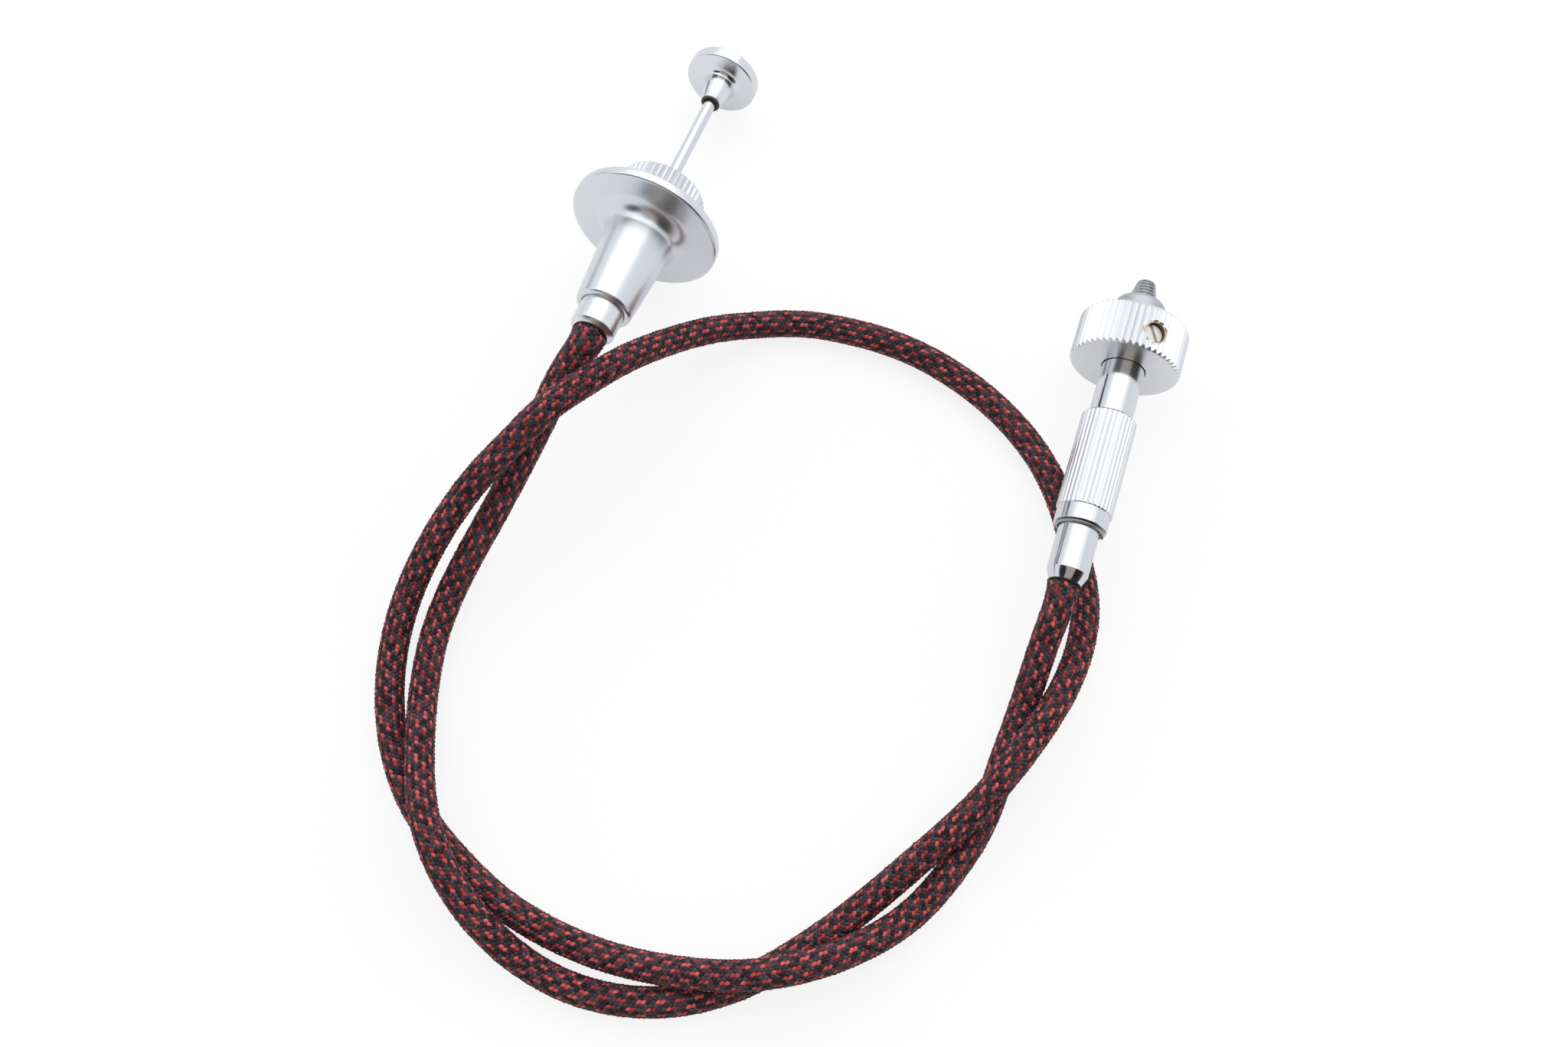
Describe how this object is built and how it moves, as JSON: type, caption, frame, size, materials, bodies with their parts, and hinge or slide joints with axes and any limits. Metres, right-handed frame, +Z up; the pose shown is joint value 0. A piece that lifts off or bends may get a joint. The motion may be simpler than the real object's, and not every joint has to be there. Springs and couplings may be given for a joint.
{
  "type": "cable shutter release",
  "caption": "Mechanical cable shutter release: plunger with finger plate and disc lock, braided cable in two loops, swivelling knurled grip and threaded cone with a release pin.",
  "frame": {"origin": "on the surface that the object lies on, under the middle of the metal pieces' box", "axes": "+Z up, +X to the right and +Y away in the pictured view"},
  "size_m": [0.1115, 0.1385, 0.0219],
  "materials": {
    "satin_chrome": "satin",
    "bright_chrome": "polished",
    "brass": "turned",
    "steel": "drawn",
    "screw_brass": "worn nickel over brass",
    "rubber": "matt",
    "braid": "woven, black with red flecks"
  },
  "bodies": {
    "release_body": {"handle_body": "satin_chrome", "top_bush": "brass", "lock_washer": "steel", "lock_collet": "brass", "handle_ferrule": "bright_chrome", "braided_cable": "braid", "tip_ferrule": "bright_chrome", "swivel_tube": "brass", "snap_ring": "steel"},
    "lock": {"lock_ring": "bright_chrome"},
    "plunger": {"thumb_button": "satin_chrome", "rod_bumper": "rubber", "plunger_rod": "bright_chrome", "rod_collar": "brass", "wire_clamp": "brass", "upper_wire": "steel"},
    "grip": {"grip_sleeve": "bright_chrome", "knurled_wheel": "bright_chrome", "set_screw": "screw_brass", "cone_tip": "bright_chrome"},
    "pin": {"release_pin": "steel", "pin_wire": "steel"}
  },
  "joints": [
    {"name": "plunger_press", "type": "slide", "parent": "release_body", "child": "plunger", "axis": [-0.3271, -0.9287, 0.1746], "range_m": [0, 0.012], "stiffness_N_per_m": 150, "springref_m": -0.008},
    {"name": "lock_turn", "type": "hinge", "parent": "release_body", "child": "lock", "pos_m": [-0.03219, 0.01282, 0.01041], "axis": [0.3271, 0.9287, -0.1746], "range_deg": [0, 90]},
    {"name": "tip_swivel", "type": "hinge", "parent": "release_body", "child": "grip", "pos_m": [0.0344, -0.0103, 0.00784], "axis": [0.304, 0.9526, -0.014], "continuous": true},
    {"name": "pin_extend", "type": "slide", "parent": "release_body", "child": "pin", "axis": [0.304, 0.9526, -0.014], "range_m": [0, 0.012]}
  ],
  "couplings": [
    {"joint": "pin_extend", "follows": "plunger_press", "ratio": 1}
  ]
}
